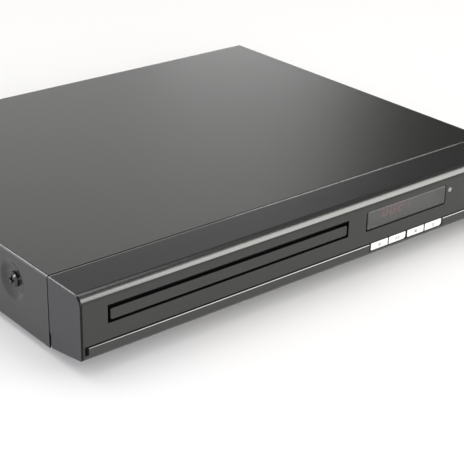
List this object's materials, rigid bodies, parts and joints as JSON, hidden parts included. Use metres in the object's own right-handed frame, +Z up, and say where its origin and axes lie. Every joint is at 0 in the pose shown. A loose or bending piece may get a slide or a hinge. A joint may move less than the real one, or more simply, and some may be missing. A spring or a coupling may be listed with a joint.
{
  "type": "disc player with tray",
  "caption": "Low flat disc player: metal cover on a plastic front with a sliding disc tray left of centre, a display window, press buttons under it and sockets at the back.",
  "frame": {"origin": "on the ground plane, under the middle of the overall box (case plus phono sleeves)", "axes": "+X to the right seen from the front, +Y from the front face to the back, +Z up; the front faces -Y"},
  "size_m": [0.3, 0.2566, 0.0419],
  "materials": {
    "cover_paint": "fine textured powder coat, dark olive grey",
    "zinc_sheet": "plain zinc-plated sheet",
    "black_sheet": "matt black paint",
    "front_plastic": "satin charcoal",
    "smoked_plastic": "clear smoked, polished",
    "silver_plastic": "silver-white paint",
    "led_plastic": "diffusing, unlit",
    "black_plastic": "moulded",
    "ivory_plastic": "moulded acetal",
    "brass": "turned",
    "motor_steel": "plated can",
    "bright_steel": "ground and plated",
    "magnet": "plated ferrite",
    "rubber": "moulded",
    "alloy": "cast and pressed",
    "lens": "coated",
    "green_board": "solder resist on glass epoxy",
    "brown_board": "paper laminate",
    "lit_red": "lit segments",
    "chip_plastic": "moulded",
    "socket_insert": "moulded, one colour each",
    "coil_tape": "tape over ferrite",
    "can_sleeve": "shrunk sleeve",
    "ribbon": "flat cable and plugs"
  },
  "bodies": {
    "case": {"top_cover": "cover_paint", "bottom_chassis": "zinc_sheet", "rear_panel": "black_sheet", "front_fascia": "front_plastic", "chin_strip": "front_plastic", "display_window": "smoked_plastic", "power_led": "led_plastic", "loader_frame": "black_plastic", "clamp_bridge": "zinc_sheet", "loading_motor": "motor_steel", "drive_belt": "rubber", "front_board": "green_board", "display_module": "black_plastic", "lit_segments": "lit_red", "front_ribbon": "ribbon", "ir_receiver": "chip_plastic", "tact_switches": "chip_plastic", "main_board": "green_board", "board_chips": "chip_plastic", "hdmi_socket": "bright_steel", "rca_housing": "black_plastic", "rca_sleeves": "bright_steel", "rca_inserts": "socket_insert", "power_board": "brown_board", "transformer": "coil_tape", "capacitors": "can_sleeve", "heat_sink": "alloy", "mains_inlet": "black_plastic", "feet": "rubber", "cover_side_screws": "bright_steel", "rear_screws": "black_sheet", "machine_screws": "bright_steel"},
    "tray": {"tray_door": "front_plastic", "disc_tray": "black_plastic"},
    "tray_gear": {"tray_gear": "ivory_plastic"},
    "pulley_gear": {"pulley_gear": "ivory_plastic"},
    "motor_pulley": {"motor_pulley": "ivory_plastic"},
    "traverse": {"lift_frame": "black_plastic", "dampers": "rubber", "damper_screws": "bright_steel", "mech_deck": "zinc_sheet", "spindle_motor": "motor_steel", "guide_rods": "bright_steel", "rod_holders": "black_plastic", "sled_motor": "motor_steel"},
    "spindle": {"spindle_shaft": "bright_steel", "turntable": "black_plastic", "turntable_pad": "rubber"},
    "pickup": {"pickup_body": "alloy", "pickup_lens": "lens"},
    "feed_gear": {"feed_gear": "ivory_plastic"},
    "feed_pinion": {"feed_pinion": "brass"},
    "cam_slider": {"cam_slider": "ivory_plastic"},
    "clamp": {"clamp_puck": "ivory_plastic", "clamp_magnet": "magnet"},
    "eject_button": {"eject_button": "silver_plastic"},
    "play_button": {"play_button": "silver_plastic"},
    "stop_button": {"stop_button": "silver_plastic"},
    "standby_button": {"standby_button": "silver_plastic"}
  },
  "joints": [
    {"name": "tray_slide", "type": "slide", "parent": "case", "child": "tray", "axis": [0, -1, 0], "range_m": [0, 0.132]},
    {"name": "tray_gear_spin", "type": "hinge", "parent": "case", "child": "tray_gear", "pos_m": [-0.0048, -0.0833, 0.025], "axis": [0, 0, 1], "continuous": true},
    {"name": "pulley_gear_spin", "type": "hinge", "parent": "case", "child": "pulley_gear", "pos_m": [-0.0208, -0.0833, 0.025], "axis": [0, 0, 1], "continuous": true},
    {"name": "motor_pulley_spin", "type": "hinge", "parent": "case", "child": "motor_pulley", "pos_m": [-0.0578, -0.0833, 0.025], "axis": [0, 0, 1], "continuous": true},
    {"name": "traverse_lower", "type": "hinge", "parent": "case", "child": "traverse", "pos_m": [-0.0598, 0.0497, 0.0165], "axis": [1, 0, 0], "range_deg": [0, 3.9]},
    {"name": "cam_slide", "type": "slide", "parent": "case", "child": "cam_slider", "axis": [-1, 0, 0], "range_m": [0, 0.0161]},
    {"name": "spindle_spin", "type": "hinge", "parent": "traverse", "child": "spindle", "pos_m": [-0.0598, -0.0503, 0.025], "axis": [0, 0, 1], "continuous": true},
    {"name": "pickup_slide", "type": "slide", "parent": "traverse", "child": "pickup", "axis": [0, 1, 0], "range_m": [0, 0.034]},
    {"name": "feed_gear_spin", "type": "hinge", "parent": "traverse", "child": "feed_gear", "pos_m": [-0.026, -0.0073, 0.025], "axis": [0, 0, 1], "continuous": true},
    {"name": "feed_pinion_spin", "type": "hinge", "parent": "traverse", "child": "feed_pinion", "pos_m": [-0.026, -0.0199, 0.025], "axis": [0, 0, 1], "continuous": true},
    {"name": "clamp_spin", "type": "hinge", "parent": "case", "child": "clamp", "pos_m": [-0.0598, -0.0503, 0.033], "axis": [0, 0, 1], "continuous": true},
    {"name": "eject_button_press", "type": "slide", "parent": "case", "child": "eject_button", "axis": [0, 1, 0], "range_m": [0, 0.0005], "stiffness_N_per_m": 60, "springref_m": -0.0003},
    {"name": "play_button_press", "type": "slide", "parent": "case", "child": "play_button", "axis": [0, 1, 0], "range_m": [0, 0.0005], "stiffness_N_per_m": 60, "springref_m": -0.0003},
    {"name": "stop_button_press", "type": "slide", "parent": "case", "child": "stop_button", "axis": [0, 1, 0], "range_m": [0, 0.0005], "stiffness_N_per_m": 60, "springref_m": -0.0003},
    {"name": "standby_button_press", "type": "slide", "parent": "case", "child": "standby_button", "axis": [0, 1, 0], "range_m": [0, 0.0005], "stiffness_N_per_m": 60, "springref_m": -0.0003}
  ],
  "couplings": [
    {"joint": "tray_gear_spin", "follows": "tray_slide", "rad_per_m": -100},
    {"joint": "pulley_gear_spin", "follows": "tray_slide", "rad_per_m": 166.67},
    {"joint": "motor_pulley_spin", "follows": "tray_slide", "rad_per_m": 491.87},
    {"joint": "cam_slide", "follows": "traverse_lower", "m_per_rad": 0.23506},
    {"joint": "feed_gear_spin", "follows": "pickup_slide", "rad_per_m": -208.33},
    {"joint": "feed_pinion_spin", "follows": "pickup_slide", "rad_per_m": 520.83}
  ]
}
